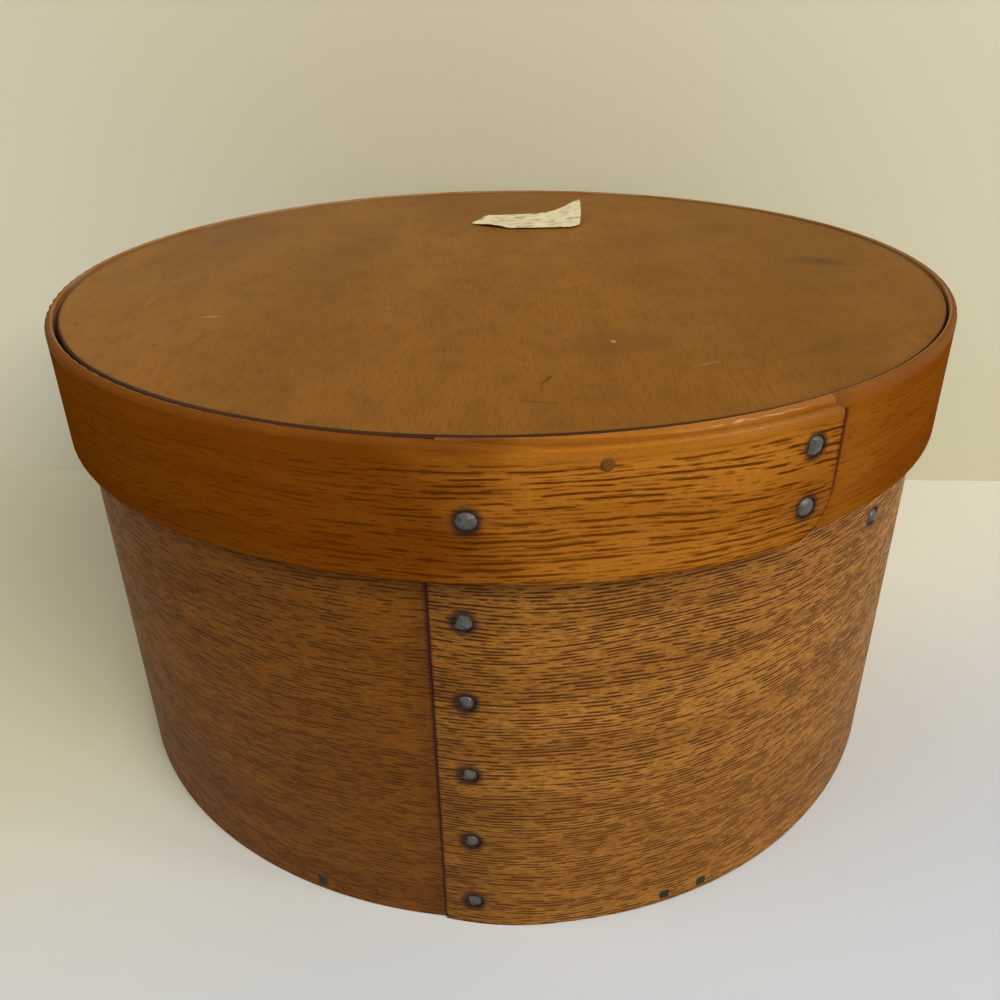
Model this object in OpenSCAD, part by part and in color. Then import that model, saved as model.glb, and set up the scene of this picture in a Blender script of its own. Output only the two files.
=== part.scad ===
// Round bentwood pantry box with a lift-off lid.
// Each wall is one thin oak strip, bent round a form and lapped over its own thinned end.
// Iron tacks close the laps, and their points are turned over flush on the inside.
// Sizes are in millimetres. +Z is up, the front is towards -Y, and the origin is the middle of the underside.
// Directions are in degrees, anticlockwise from +X as seen from above.

/* [Box] */
// Inside diameter of the box, which is the diameter of its bending form
box_bore = 243; // [200:1:300]
// Height of the side band
box_height = 128; // [115:0.5:170]
// Thickness of the bottom board
bottom_thick = 7; // [6:0.5:10]

/* [Lid] */
// Height of the lid band
lid_height = 31; // [26:0.5:33]
// Thickness of the lid board
lid_board_thick = 7.5; // [5:0.5:8]
// Depth of the lid board's face below the upper edge of the lid band
lid_board_drop = 0.6; // [0.3:0.1:1.5]
// Radius worn onto the upper outer edge of the lid band
lid_rim_round = 1.5; // [0.75:0.05:1.6]
// Room between the lid band and the box where they come closest
lid_clear = 0.4; // [0.3:0.05:1]
// Room between the lid board and the upper edge of the box
lid_seat = 0.2; // [0.1:0.05:0.5]
// Gap at the left of the lid board, which has shrunk across its grain
shrink_left = 1.1; // [0.3:0.1:1.5]
// Gap at the right of the lid board
shrink_right = 0.4; // [0.3:0.1:1.5]

/* [Bent strips] */
// Thickness of the strips
strip_thick = 2; // [1.6:0.1:3]
// Radius worn onto the long edges of the strips
strip_edge = 0.5; // [0.3:0.05:0.75]
// Room between the two layers of a lap
lap_gap = 0.15; // [0.1:0.05:0.3]
// Share of its climb that a strip's thinned inner end reaches into
scarf_reach = 0.62; // [0.54:0.02:0.66]
// Distance of the tack in a thinned inner end from its tip
scarf_inset = 5.5; // [4.5:0.5:8]
// Thickness left at the side band's outer end, which is thinned from the outside
seam_thick = 0.9; // [0.6:0.1:1.2]
// Distance from the middle of the box to the middle of the curve that thins that end
seam_swing = 45; // [36:1:56]

/* [Laps] */
// Direction of the side band's outer end, the upright seam in front
box_lap_at = -97; // [-110:0.5:-90]
// Turn that the side band overlaps itself at full thickness
box_lap_turn = 20; // [20:1:30]
// Turn over which the side band climbs onto its own inner end
box_climb_turn = 58; // [50:1:70]
// Direction of the lid band's outer end
lid_lap_at = -57.5; // [-66:0.5:-50]
// Turn that the lid band overlaps itself at full thickness
lid_lap_turn = 10; // [8:1:20]
// Turn over which the lid band climbs onto its own inner end
lid_climb_turn = 45; // [36:1:60]
// Depth of the upper edge of the lid band's outer layer below that of the inner one
lid_lap_drop = 1.4; // [0.8:0.1:2]
// Length over which that edge rises again to the full height of the band
lid_lap_fade = 22; // [14:0.5:24]
// Radius of the upper corner of the lid band's outer end
lid_corner_top = 2; // [1:0.5:5]
// Radius of the lower corner of the lid band's outer end
lid_corner_low = 11; // [6:0.5:12]

/* [Tacks] */
// Diameter of a tack head
tack_head = 4.6; // [3:0.1:6]
// Height of the domed head above its own rim
tack_dome = 1; // [0.6:0.1:1.4]
// Depth that the head is driven into the wood
tack_sink = 0.3; // [0.1:0.05:0.5]
// Width of the square shank
tack_shank = 1.5; // [1:0.1:2]
// Length of the point that is turned over inside
clinch_long = 4.5; // [3:0.5:6]
// Thickness of the turned-over point at its bend
clinch_thick = 0.9; // [0.6:0.1:1.2]
// Room round a tack in its hole
tack_fit = 0.05; // [0.03:0.01:0.1]
// Tacks in the row beside the seam of the side band
side_tacks = 5; // [3:1:6]
// Distance of a tack row from the end of its strip
tack_inset = 7; // [5:0.5:12]
// Height of the lowest side tack above the bottom edge
side_tack_rise = 8; // [5:0.5:12]
// Depth of the highest side tack below the lid
side_tack_drop = 12; // [7:0.5:15]
// Height of the lower lid tack above the lower edge of the lid band
lid_tack_rise = 8.5; // [8:0.5:11]
// Depth of the upper lid tack below the upper edge of the lid band
lid_tack_drop = 8.5; // [6:0.5:9]
// Depth of the tack in the side band's inner end below the lid
side_end_drop = 9.5; // [5:0.5:15]
// Height of the tack in the lid band's inner end above the lower edge
lid_end_rise = 14.5; // [10:0.5:19]

/* [Pegs and nails] */
// Diameter of the wooden pegs that hold the lid board
peg_d = 3.2; // [2.5:0.1:4]
// Length of a peg in the lid board
peg_reach = 13; // [8:0.5:18]
// Number of pegs round the lid
pegs = 4; // [3:1:6]
// Direction of the first peg
peg_at = -81; // [-92:0.5:-70]
// Share of the lid board's thickness that lies below the middle of a peg
peg_share = 0.42; // [0.42:0.01:0.5]
// Room round a peg in its hole
peg_fit = 0.05; // [0.03:0.01:0.1]
// Amount by which a peg stands proud of the band
peg_proud = 0.25; // [0.1:0.05:0.5]
// Width of the square head of a base nail
nail_head = 2.6; // [2:0.1:3.5]
// Length of the head of a base nail
nail_head_long = 1.2; // [0.8:0.1:1.4]
// Width of the square shank of a base nail
nail_shank = 1.6; // [1.2:0.1:2]
// Length of a base nail in the bottom board
nail_reach = 14; // [10:0.5:20]
// Height of the base nails above the bottom edge
nail_rise = 3; // [2.5:0.1:4]
// Room round a nail in its hole
nail_fit = 0.05; // [0.03:0.01:0.1]

/* [Paper label] */
// Thickness of the label
paper_thick = 0.25; // [0.2:0.05:0.5]
// Length of the label from its torn left tip
paper_long = 41; // [36:0.5:46]
// Depth of the label from front to back
paper_deep = 22; // [18:0.5:26]
// Distance of the torn tip behind the front edge
paper_tip = 8; // [4:0.5:12]
// Distance of the back left corner to the right of the torn tip
paper_tear = 6; // [3:0.5:10]
// Length that the tear takes off the front edge
paper_nip = 14; // [8:0.5:18]
// Distance from the crease of the curl to the right end, along the front edge
paper_curl = 10; // [6:0.5:14]
// Radius of the curl
paper_curl_r = 24; // [20:0.5:30]
// Direction of the crease, towards the back edge
paper_crease = 115; // [95:1:125]
// Distance of the label's torn tip to the right of the middle of the lid
paper_x = -10; // [-60:1:40]
// Distance of the label's front edge behind the middle of the lid
paper_y = 53; // [-60:1:70]

/* [Hidden] */
// Directions of the base nails round the box
nail_at = [-113, -71, -66, 20, 90, 160];

// Width of the bevel on pegs and boards
bevel = 0.5;

// Thickness left at the tip of a turned-over tack point
clinch_tip = 0.3;

// Room left between boards and the strip bent round them
board_fit = 0.1;

// Distance by which a cutting shape runs past what it cuts
past = 1;

// Step and turn by which one bend of a strip is set inside the next, so that they join as one piece
weld = 0.02;
weld_turn = 0.3;

// Layout of a lap: one layer's rise, and the depth of both layers
lap_rise = strip_thick + lap_gap;
lap_depth = strip_thick + lap_rise;

// Turn over which the side band's outer end is thinned
seam_turn = acos(1 - (strip_thick - seam_thick) / seam_swing);

// Radii of the box
box_r = box_bore / 2;
box_skin = box_r + strip_thick;

// The lid is centred between the plain side of the box and its lap, and clears both alike
lap_middle = box_lap_at + box_lap_turn / 2;
lid_shift = lap_rise / (1 + cos(box_lap_turn / 2));
lid_centre = lid_shift * [cos(lap_middle), sin(lap_middle)];
lid_r = box_skin + lid_clear + lid_shift;

// Heights of the lid
lid_board_low = box_height + lid_seat;
lid_board_top = lid_board_low + lid_board_thick;
lid_top = lid_board_top + lid_board_drop;
lid_low = lid_top - lid_height;
peg_z = lid_board_low + peg_share * lid_board_thick;

// Tack places as [direction, height above the lower edge of the strip]
box_inset_turn = tack_inset / box_r * 180 / PI;
lid_inset_turn = tack_inset / lid_r * 180 / PI;
side_tack_high = lid_low - side_tack_drop;
side_tack_step = (side_tack_high - side_tack_rise) / (side_tacks - 1);
side_tack_at = [for (i = [0 : side_tacks - 1])
    [box_lap_at + box_inset_turn, side_tack_high - i * side_tack_step]];
side_end_at = [box_lap_at + end_tack_turn(box_r, box_lap_turn, box_climb_turn), lid_low - side_end_drop];
lid_tack_at = [
    [lid_lap_at - lid_inset_turn, lid_height - lid_tack_drop],
    [lid_lap_at - lid_inset_turn, lid_tack_rise]
];
lid_end_at = [lid_lap_at - end_tack_turn(lid_r, lid_lap_turn, lid_climb_turn), lid_end_rise];

// Directions of the pegs
peg_dirs = [for (i = [0 : pegs - 1]) peg_at + i * 360 / pegs];

// Point at a direction, one unit from the middle
function way(a) = [cos(a), sin(a), 0];

// Turn from a strip's outer end to the tack that holds its thinned inner end
function end_tack_turn(r, lap_turn, climb_turn) =
    lap_turn + scarf_reach * climb_turn - scarf_inset / r * 180 / PI;

// Swing of the two bends of a climb, which lets it leave and arrive without a kink
function climb_swing(climb_turn) = lap_rise / (2 * (1 - cos(climb_turn / 2)));

// Distance from the middle to a circle whose own middle lies off to the side,
// where along is the part of that offset on the line of sight
function sight(circle_r, off, along) = along + sqrt(circle_r * circle_r - off * off + along * along);

// Radius of a strip's outer face at a turn from its outer end
function strip_face(turn, r, lap_turn, climb_turn) =
    let (skin = r + strip_thick, swing = climb_swing(climb_turn), landed = lap_turn + climb_turn)
    turn <= lap_turn ? skin + lap_rise :
    turn <= lap_turn + climb_turn / 2 ? sight(skin + lap_rise - swing, swing, swing * cos(turn - lap_turn)) :
    turn <= landed ? sight(skin + swing, swing, -swing * cos(landed - turn)) :
    skin;

// Turn from one direction to another, from 0 up to a whole turn
function turn_from(start, a) = (a - start + 360) % 360;

// Radius of the outer face of each wall at a direction
function box_face(a) =
    let (turn = turn_from(box_lap_at, a))
    turn < seam_turn
        ? sight(box_skin + lap_rise - seam_swing, seam_swing, seam_swing * cos(seam_turn - turn))
        : strip_face(turn, box_r, box_lap_turn, box_climb_turn);
function lid_face(a) = strip_face(turn_from(a, lid_lap_at), lid_r, lid_lap_turn, lid_climb_turn);

// Names of the pieces

// Facets of the preview: least turn and least length of each
$fa = 1;
$fs = 0.4;

// Upright section of a strip with its inner face at x = 0; crown is the radius of its upper outer edge,
// and inset draws it in on every side
module strip_section(height, crown, inset = 0) {
    edge = strip_edge;
    thick = strip_thick - 2 * inset;
    tall = height - 2 * inset;
    translate([inset, inset])
        difference() {
            union() {
                translate([0, edge]) square([thick, tall - 2 * edge]);
                translate([edge, 0]) square([thick - 2 * edge, tall]);
                for (x = [edge, thick - edge], y = [edge, tall - edge])
                    translate([x, y]) circle(r = edge);
            }
            translate([thick - crown, tall - crown])
                difference() {
                    square(crown + past);
                    circle(r = crown);
                }
        }
}

// One bend of a strip round the form, with its inner face at radius r
module strip_bend(r, from, turn) {
    rotate_extrude(start = from, angle = turn)
        translate([r, 0]) children();
}

// Sweeps a section round the sharp first bend, by which the outer layer leaves the lap
module leaving_bend(r, lap_turn, climb_turn) {
    swing = climb_swing(climb_turn);
    translate(swing * way(lap_turn))
        rotate_extrude(start = lap_turn - weld_turn, angle = climb_turn / 2 + 2 * weld_turn)
            translate([r + lap_rise - swing, 0]) children();
}

// Sweeps a section round the flat second bend, by which it comes down onto the form;
// over is the turn by which it runs past the place where it lands
module landing_bend(r, lap_turn, climb_turn, over) {
    swing = climb_swing(climb_turn);
    translate(-swing * way(lap_turn + climb_turn))
        rotate_extrude(start = lap_turn + climb_turn / 2 - weld_turn,
                       angle = climb_turn / 2 + weld_turn + over)
            translate([r + swing, 0]) children();
}

// Section of the room that the thinned end leaves for the climb
module climb_room(height, deeper) {
    translate([-lap_gap - deeper, -past]) square([lap_depth, height + 2 * past]);
}

// Cutter that slopes the upper edge of the outer layer from its depth on the lap up to the full height;
// it starts on the line where the two bends of the climb meet
module lap_slope(r, height, lap_turn, climb_turn, drop) {
    rotate(lap_turn + climb_turn / 2)
        translate([r - lap_depth, -climb_swing(climb_turn) * sin(climb_turn / 2), height])
            rotate([90, 0, 90])
                linear_extrude(2 * lap_depth)
                    polygon([
                        [-2 * past, past],
                        [-2 * past, -drop],
                        [0, -drop],
                        [lid_lap_fade, 0],
                        [lid_lap_fade, past]
                    ]);
}

// A whole strip: its outer end is at direction 0, and the lap runs anticlockwise from there.
// Its upper outer edge is rounded by crown, and its outer layer starts lower by drop.
// Children are cut from the outer end only.
module bent_strip(r, height, lap_turn, climb_turn, crown = strip_edge, drop = 0) {
    difference() {
        strip_bend(r + lap_rise, 0, lap_turn) strip_section(height - drop, strip_edge);
        children();
    }
    leaving_bend(r, lap_turn, climb_turn) strip_section(height - drop, strip_edge, weld);
    difference() {
        landing_bend(r, lap_turn, climb_turn, weld_turn) strip_section(height, crown, 2 * weld);
        lap_slope(r, height, lap_turn, climb_turn, drop + 2 * weld);
    }
    difference() {
        strip_bend(r, lap_turn + climb_turn, 360 - climb_turn * (1 - scarf_reach))
            strip_section(height, crown);
        leaving_bend(r, lap_turn, climb_turn) climb_room(height, weld);
        landing_bend(r, lap_turn, climb_turn, -weld_turn) climb_room(height, 2 * weld);
    }
}

// Cutter that thins the side band's outer end from the outside,
// in a curve that leaves the full strip without a kink
module seam_cut() {
    translate(seam_swing * way(seam_turn))
        rotate_extrude(start = -seam_turn, angle = 2 * seam_turn)
            translate([box_skin + lap_rise - seam_swing, -past])
                square([lap_depth, box_height + 2 * past]);
}

// Side view of a tack, driven along -x through a wall whose inner face is at x = -depth;
// grow widens it for a hole
module tack_side(depth, grow = 0) {
    half = tack_shank / 2 + grow;
    low = -tack_shank / 2 - clinch_long - grow;
    polygon([
        [-tack_sink, half],
        [-depth - grow, half],
        [-depth - grow, low],
        [-depth + clinch_tip + grow, low],
        [-depth + clinch_thick + grow, -half],
        [-tack_sink, -half]
    ]);
}

// Shank and turned-over point
module tack_shape(depth, grow = 0) {
    width = tack_shank + 2 * grow;
    rotate([90, 0, 0])
        translate([0, 0, -width / 2])
            linear_extrude(width) tack_side(depth, grow);
}

// Domed head, with its rim at x = -tack_sink
module tack_dome_cap() {
    dome_r = (pow(tack_head / 2, 2) + pow(tack_dome, 2)) / (2 * tack_dome);
    rotate([0, 90, 0])
        rotate_extrude()
            intersection() {
                translate([0, tack_dome - tack_sink - dome_r]) circle(r = dome_r);
                translate([0, -tack_sink]) square([tack_head, tack_dome]);
            }
}

// A tack in its place through a wall from its outer face to its inner one, at radius r
module tack(r, face, place, base = 0) {
    rotate(place[0])
        translate([face, 0, base + place[1]]) {
            tack_dome_cap();
            tack_shape(face - r);
        }
}

// The hole that a tack leaves: the seat of its head, its shank and the bed of its point
module tack_hole(r, face, place, base = 0) {
    rotate(place[0])
        translate([face, 0, base + place[1]]) {
            translate([-tack_sink, 0, 0])
                rotate([0, 90, 0]) cylinder(d = tack_head + 2 * tack_fit, h = tack_sink + past);
            tack_shape(face - r, tack_fit);
        }
}

// A round peg driven inwards from the outer face of the lid band
module peg(a, grow = 0) {
    long = lid_face(a) - lid_r + board_fit + peg_reach;
    rotate(a)
        translate([lid_face(a) + peg_proud, 0, peg_z])
            rotate([0, -90, 0]) {
                cylinder(d1 = peg_d - 2 * bevel + 2 * grow, d2 = peg_d + 2 * grow, h = bevel);
                translate([0, 0, bevel])
                    cylinder(d = peg_d + 2 * grow, h = long + peg_proud - bevel + grow);
            }
}

// A square nail driven inwards from the outer face of the side band
module nail(a, grow = 0) {
    long = box_face(a) - box_r + board_fit + nail_reach;
    head = nail_head + 2 * grow;
    shank = nail_shank + 2 * grow;
    rotate(a)
        translate([box_face(a), 0, nail_rise]) {
            translate([-nail_head_long - grow, -head / 2, -head / 2])
                cube([nail_head_long + 2 * grow, head, head]);
            rotate([90, 0, 0])
                translate([0, 0, -shank / 2])
                    linear_extrude(shank)
                        polygon([
                            [-nail_head_long, shank / 2],
                            [-nail_head_long, -shank / 2],
                            [-long + nail_shank, -shank / 2],
                            [-long - grow, 0],
                            [-long + nail_shank, shank / 2]
                        ]);
        }
}

// A round board with bevelled rims, standing on z = 0
module board(r, thick) {
    rotate_extrude()
        polygon([
            [0, 0], [r - bevel, 0], [r, bevel],
            [r, thick - bevel], [r - bevel, thick], [0, thick]
        ]);
}

// Cutter that rounds one corner of a strip's outer end; the corner lies at the origin of the y-z plane
module corner_cut(radius, depth) {
    rotate([90, 0, 90])
        linear_extrude(depth)
            difference() {
                translate([-past, -past]) square(radius + past);
                translate([radius, radius]) circle(r = radius);
            }
}

module bottom_board() {
    color("peru")
        difference() {
            board(box_r - board_fit, bottom_thick);
            for (a = nail_at) nail(a, nail_fit);
        }
}

module side_band() {
    color("sienna")
        difference() {
            rotate(box_lap_at)
                bent_strip(box_r, box_height, box_lap_turn, box_climb_turn) seam_cut();
            for (place = concat(side_tack_at, [side_end_at]))
                tack_hole(box_r, box_face(place[0]), place);
            for (a = nail_at) nail(a, nail_fit);
        }
}

module side_tack(i) {
    color("dimgray") tack(box_r, box_face(side_tack_at[i][0]), side_tack_at[i]);
}

module side_end_tack() {
    color("dimgray") tack(box_r, box_face(side_end_at[0]), side_end_at);
}

module base_nail(i) {
    color("dimgray") nail(nail_at[i]);
}

module lid_board() {
    color("chocolate")
        translate(lid_centre)
            difference() {
                translate([0, 0, lid_board_low])
                    intersection() {
                        translate([shrink_left - board_fit, 0, 0]) board(lid_r - board_fit, lid_board_thick);
                        translate([board_fit - shrink_right, 0, 0]) board(lid_r - board_fit, lid_board_thick);
                    }
                for (a = peg_dirs) peg(a, peg_fit);
            }
}

module lid_band() {
    outer = lid_r + lap_rise;
    color("peru")
        translate(lid_centre)
            difference() {
                translate([0, 0, lid_low])
                    mirror([0, 1, 0])
                        rotate(-lid_lap_at)
                            bent_strip(lid_r, lid_height, lid_lap_turn, lid_climb_turn,
                                       lid_rim_round, lid_lap_drop) {
                                translate([outer - past, 0, 0])
                                    corner_cut(lid_corner_low, lap_depth);
                                translate([outer - past, 0, lid_height - lid_lap_drop])
                                    mirror([0, 0, 1]) corner_cut(lid_corner_top, lap_depth);
                            }
                for (place = concat(lid_tack_at, [lid_end_at]))
                    tack_hole(lid_r, lid_face(place[0]), place, lid_low);
                for (a = peg_dirs) peg(a, peg_fit);
            }
}

module lid_tack(i) {
    color("dimgray")
        translate(lid_centre) tack(lid_r, lid_face(lid_tack_at[i][0]), lid_tack_at[i], lid_low);
}

module lid_end_tack() {
    color("dimgray") translate(lid_centre) tack(lid_r, lid_face(lid_end_at[0]), lid_end_at, lid_low);
}

module lid_peg(i) {
    color("saddlebrown") translate(lid_centre) peg(peg_dirs[i]);
}

// Side view of the label: flat to the left of the crease, and a rising arc to the right of it
module paper_side() {
    translate([-paper_long, 0]) square([paper_long, paper_thick]);
    translate([0, paper_curl_r])
        intersection() {
            difference() {
                circle(r = paper_curl_r);
                circle(r = paper_curl_r - paper_thick);
            }
            translate([0, -paper_curl_r]) square(paper_curl_r);
        }
}

module paper_label() {
    color("ivory")
        translate(concat(lid_centre + [paper_x, paper_y], lid_board_top))
            intersection() {
                translate([paper_long - paper_curl, 0, 0])
                    rotate(paper_crease - 90)
                        translate([0, paper_long, 0])
                            rotate([90, 0, 0]) linear_extrude(2 * paper_long) paper_side();
                linear_extrude(paper_curl_r)
                    polygon([
                        [0, paper_tip],
                        [paper_tear, paper_deep],
                        [paper_long, paper_deep],
                        [paper_long, 0],
                        [paper_nip, 0]
                    ]);
            }
}

bottom_board();
side_band();
side_end_tack();
for (i = [0 : side_tacks - 1])
    side_tack(i);
for (i = [0 : len(nail_at) - 1])
    base_nail(i);
lid_board();
lid_band();
lid_end_tack();
for (i = [0 : len(lid_tack_at) - 1])
    lid_tack(i);
for (i = [0 : pegs - 1])
    lid_peg(i);
paper_label();
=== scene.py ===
"""Looks of a round bentwood pantry box: oak bands, a plain lid board, hammered tacks and a torn label."""

import logging
import math
import random
from dataclasses import dataclass
from enum import Enum
from typing import Callable, Iterable

import bmesh
import bpy
from mathutils import Matrix, Vector


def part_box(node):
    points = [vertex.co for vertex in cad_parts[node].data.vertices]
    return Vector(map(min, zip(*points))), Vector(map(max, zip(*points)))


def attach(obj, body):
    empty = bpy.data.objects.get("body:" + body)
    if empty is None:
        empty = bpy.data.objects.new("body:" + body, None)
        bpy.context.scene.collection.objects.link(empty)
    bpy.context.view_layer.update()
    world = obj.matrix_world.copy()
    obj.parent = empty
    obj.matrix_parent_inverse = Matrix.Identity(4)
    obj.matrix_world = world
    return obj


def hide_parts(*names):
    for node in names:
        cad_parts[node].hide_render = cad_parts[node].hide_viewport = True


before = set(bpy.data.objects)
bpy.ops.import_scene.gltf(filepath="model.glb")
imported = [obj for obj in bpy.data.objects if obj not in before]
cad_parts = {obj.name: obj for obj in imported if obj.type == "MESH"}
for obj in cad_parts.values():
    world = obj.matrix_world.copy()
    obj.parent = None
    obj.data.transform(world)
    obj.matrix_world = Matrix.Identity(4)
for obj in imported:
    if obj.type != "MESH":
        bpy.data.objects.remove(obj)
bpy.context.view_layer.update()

LOG = logging.getLogger("pantry_box")
MM = 0.001
# Tolerances of cuts and of points that are picked by their place.
CUT = 0.001 * MM
NEAR = 0.01 * MM
IMAGE_SIDE = 1000

Colour = tuple[float, float, float]


class Winding(Enum):
    """Way round, seen from above, in which a band runs from its outer end."""

    ANTICLOCKWISE = 1
    CLOCKWISE = -1


class Body(Enum):
    """Bodies of the frame."""

    BOX = "box"
    LID = "lid"


class Blow(Enum):
    """How hard a tack was hit from the side, as the steepest slope of its flats in degrees."""

    SQUARE = 7.0
    SLANTING = 35.0


@dataclass(frozen=True)
class Tack:
    """One tack: its node, the share of the full head and the blow that flattened it."""

    node: str
    head: float = 1.0
    blow: Blow = Blow.SLANTING


# Shader sheets


class Value:
    """An output socket whose arithmetic adds Math nodes to its sheet."""

    def __init__(self, sheet: "Sheet", socket: bpy.types.NodeSocket) -> None:
        """Keep the sheet and the socket."""
        self.sheet = sheet
        self.socket = socket

    def __add__(self, other: "Value | float") -> "Value":
        """Sum."""
        return self.sheet.math("ADD", self, other)

    def __radd__(self, other: float) -> "Value":
        """Sum with a number on the left."""
        return self.sheet.math("ADD", other, self)

    def __sub__(self, other: "Value | float") -> "Value":
        """Difference."""
        return self.sheet.math("SUBTRACT", self, other)

    def __rsub__(self, other: float) -> "Value":
        """Difference from a number."""
        return self.sheet.math("SUBTRACT", other, self)

    def __mul__(self, other: "Value | float") -> "Value":
        """Product."""
        return self.sheet.math("MULTIPLY", self, other)

    def __rmul__(self, other: float) -> "Value":
        """Product with a number on the left."""
        return self.sheet.math("MULTIPLY", other, self)

    def __truediv__(self, other: "Value | float") -> "Value":
        """Quotient."""
        return self.sheet.math("DIVIDE", self, other)

    def size(self) -> "Value":
        """Value without its sign."""
        return self.sheet.math("ABSOLUTE", self)

    def upper(self, other: "Value | float") -> "Value":
        """Larger of two values."""
        return self.sheet.math("MAXIMUM", self, other)

    def lower(self, other: "Value | float") -> "Value":
        """Smaller of two values."""
        return self.sheet.math("MINIMUM", self, other)

    def step(self, start: float, end: float) -> "Value":
        """Smooth step from 0 at start to 1 at end, where start may be the larger."""
        return self.sheet.node(
            "ShaderNodeMapRange",
            {"interpolation_type": "SMOOTHSTEP"},
            {"Value": self, "From Min": start, "From Max": end},
        )


class Sheet:
    """Node tree of one material, written as expressions, with the colour painted so far."""

    def __init__(self, name: str, colour: Colour) -> None:
        """Start an empty tree in a new material with a ground colour."""
        self.material = bpy.data.materials.new(name)
        self.material.use_nodes = True
        self.tree = self.material.node_tree
        self.tree.nodes.clear()
        self.colour: Value | Colour = colour

    @staticmethod
    def find(sockets: Iterable[bpy.types.NodeSocket], key: int | str) -> bpy.types.NodeSocket:
        """Find a socket.

        Args:
            sockets: Inputs or outputs of a node.
            key: Place in the list, identifier or name.

        Returns:
            The first socket that fits.
        """
        if isinstance(key, int):
            return sockets[key]
        for socket in sockets:
            if key == socket.identifier:
                return socket
        return sockets[key]

    def node(self, kind: str, settings: dict | None = None, sockets: dict | None = None,
             out: int | str = 0) -> "Value | None":
        """Add a node.

        Args:
            kind: Type of the node.
            settings: Properties that are set first.
            sockets: Values or links of its inputs.
            out: Output to hand back.

        Returns:
            The chosen output, or None where the node ends the tree.
        """
        made = self.tree.nodes.new(kind)
        for name, setting in (settings or {}).items():
            setattr(made, name, setting)
        for key, given in (sockets or {}).items():
            socket = self.find(made.inputs, key)
            if isinstance(given, Value):
                self.tree.links.new(given.socket, socket)
            elif socket.type == "RGBA":
                socket.default_value = (*given, 1.0)
            else:
                socket.default_value = given
        return Value(self, self.find(made.outputs, out)) if made.outputs else None

    def math(self, operation: str, *terms: "Value | float") -> Value:
        """Add a Math node with the terms on its inputs."""
        return self.node("ShaderNodeMath", {"operation": operation}, dict(enumerate(terms)))

    def place(self) -> Value:
        """Object coordinates."""
        return self.node("ShaderNodeTexCoord", out="Object")

    def split(self, vector: Value) -> tuple[Value, Value, Value]:
        """Three parts of a vector."""
        parts = self.node("ShaderNodeSeparateXYZ", sockets={0: vector}).socket.node.outputs
        return tuple(Value(self, socket) for socket in parts)

    def cloud(self, x: Value, y: Value, z: "Value | float" = 0.0, detail: float = 2.0,
              rough: float = 0.5) -> Value:
        """Add a noise over three coordinates.

        Args:
            x: First coordinate, in noise cells.
            y: Second coordinate.
            z: Third coordinate, or a number that picks a pattern.
            detail: Octaves added.
            rough: Strength of the finer octaves.

        Returns:
            Noise from 0 to 1, about 0.5.
        """
        point = self.node("ShaderNodeCombineXYZ", sockets={0: x, 1: y, 2: z})
        return self.node(
            "ShaderNodeTexNoise",
            sockets={"Vector": point, "Scale": 1.0, "Detail": detail, "Roughness": rough},
        )

    def mix(self, share: "Value | float", base: "Value | Colour", top: "Value | Colour",
            blend: str = "MIX") -> Value:
        """Mix two colours.

        Args:
            share: Share of the top colour.
            base: Colour at share 0.
            top: Colour at share 1.
            blend: Kind of mix.

        Returns:
            The mixed colour.
        """
        return self.node(
            "ShaderNodeMix",
            {"data_type": "RGBA", "blend_type": blend},
            {"Factor_Float": share, "A_Color": base, "B_Color": top},
            "Result_Color",
        )

    def paint(self, share: "Value | float", top: "Value | Colour") -> None:
        """Cover a share of the colour painted so far with another."""
        self.colour = self.mix(share, self.colour, top)

    def close(self, roughness: "Value | float", height: Value | None = None, depth: float = 0.0,
              shown: Value | None = None, **plain: "float | Value") -> bpy.types.Material:
        """End the sheet with a Principled shader in the painted colour.

        Args:
            roughness: Roughness.
            height: Relief, from 0 to 1.
            depth: Depth of the relief in metres.
            shown: Share that is seen, or None where all of it is.
            plain: Other sockets by name, with _ for a space.

        Returns:
            The finished material.
        """
        sockets = {"Base Color": self.colour, "Roughness": roughness}
        sockets.update({name.replace("_", " "): given for name, given in plain.items()})
        if height is not None:
            sockets["Normal"] = self.node(
                "ShaderNodeBump", sockets={"Height": height, "Strength": 1.0, "Distance": depth}
            )
        shader = self.node("ShaderNodeBsdfPrincipled", sockets=sockets)
        if shown is not None:
            clear = self.node("ShaderNodeBsdfTransparent")
            shader = self.node("ShaderNodeMixShader", sockets={0: shown, 1: clear, 2: shader})
        self.node("ShaderNodeOutputMaterial", sockets={"Surface": shader})
        return self.material


# Places read from the frame


@dataclass(frozen=True)
class Ring:
    """One bent band: its axis, form radius, height and the direction of its outer end."""

    centre: Vector
    form_r: float
    low: float
    high: float
    seam: float
    winding: Winding

    @classmethod
    def of(cls, band: str, seam: float, winding: Winding, wall: float) -> "Ring":
        """Measure a band's node, whose left, right and back are single.

        Args:
            band: Node of the band.
            seam: Direction of its outer end, in degrees.
            winding: Way that it runs from that end.
            wall: Thickness of the strip.

        Returns:
            The ring of that band.
        """
        low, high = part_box(band)
        skin = (high.x - low.x) / 2
        centre = Vector(((low.x + high.x) / 2, high.y - skin, 0.0))
        return cls(centre, skin - wall, low.z, high.z, math.radians(seam), winding)

    @property
    def tall(self) -> float:
        """Height of the band, in millimetres."""
        return (self.high - self.low) / MM

    @property
    def girth(self) -> float:
        """Length of one turn of the strip, in millimetres."""
        return self.form_r / MM * math.tau

    def turn(self, point: Vector) -> float:
        """Direction of a point round the axis, in radians."""
        return math.atan2(point.y - self.centre.y, point.x - self.centre.x)

    def reach(self, point: Vector) -> float:
        """Distance of a point from the axis."""
        return (point - self.centre).xy.length


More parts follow.
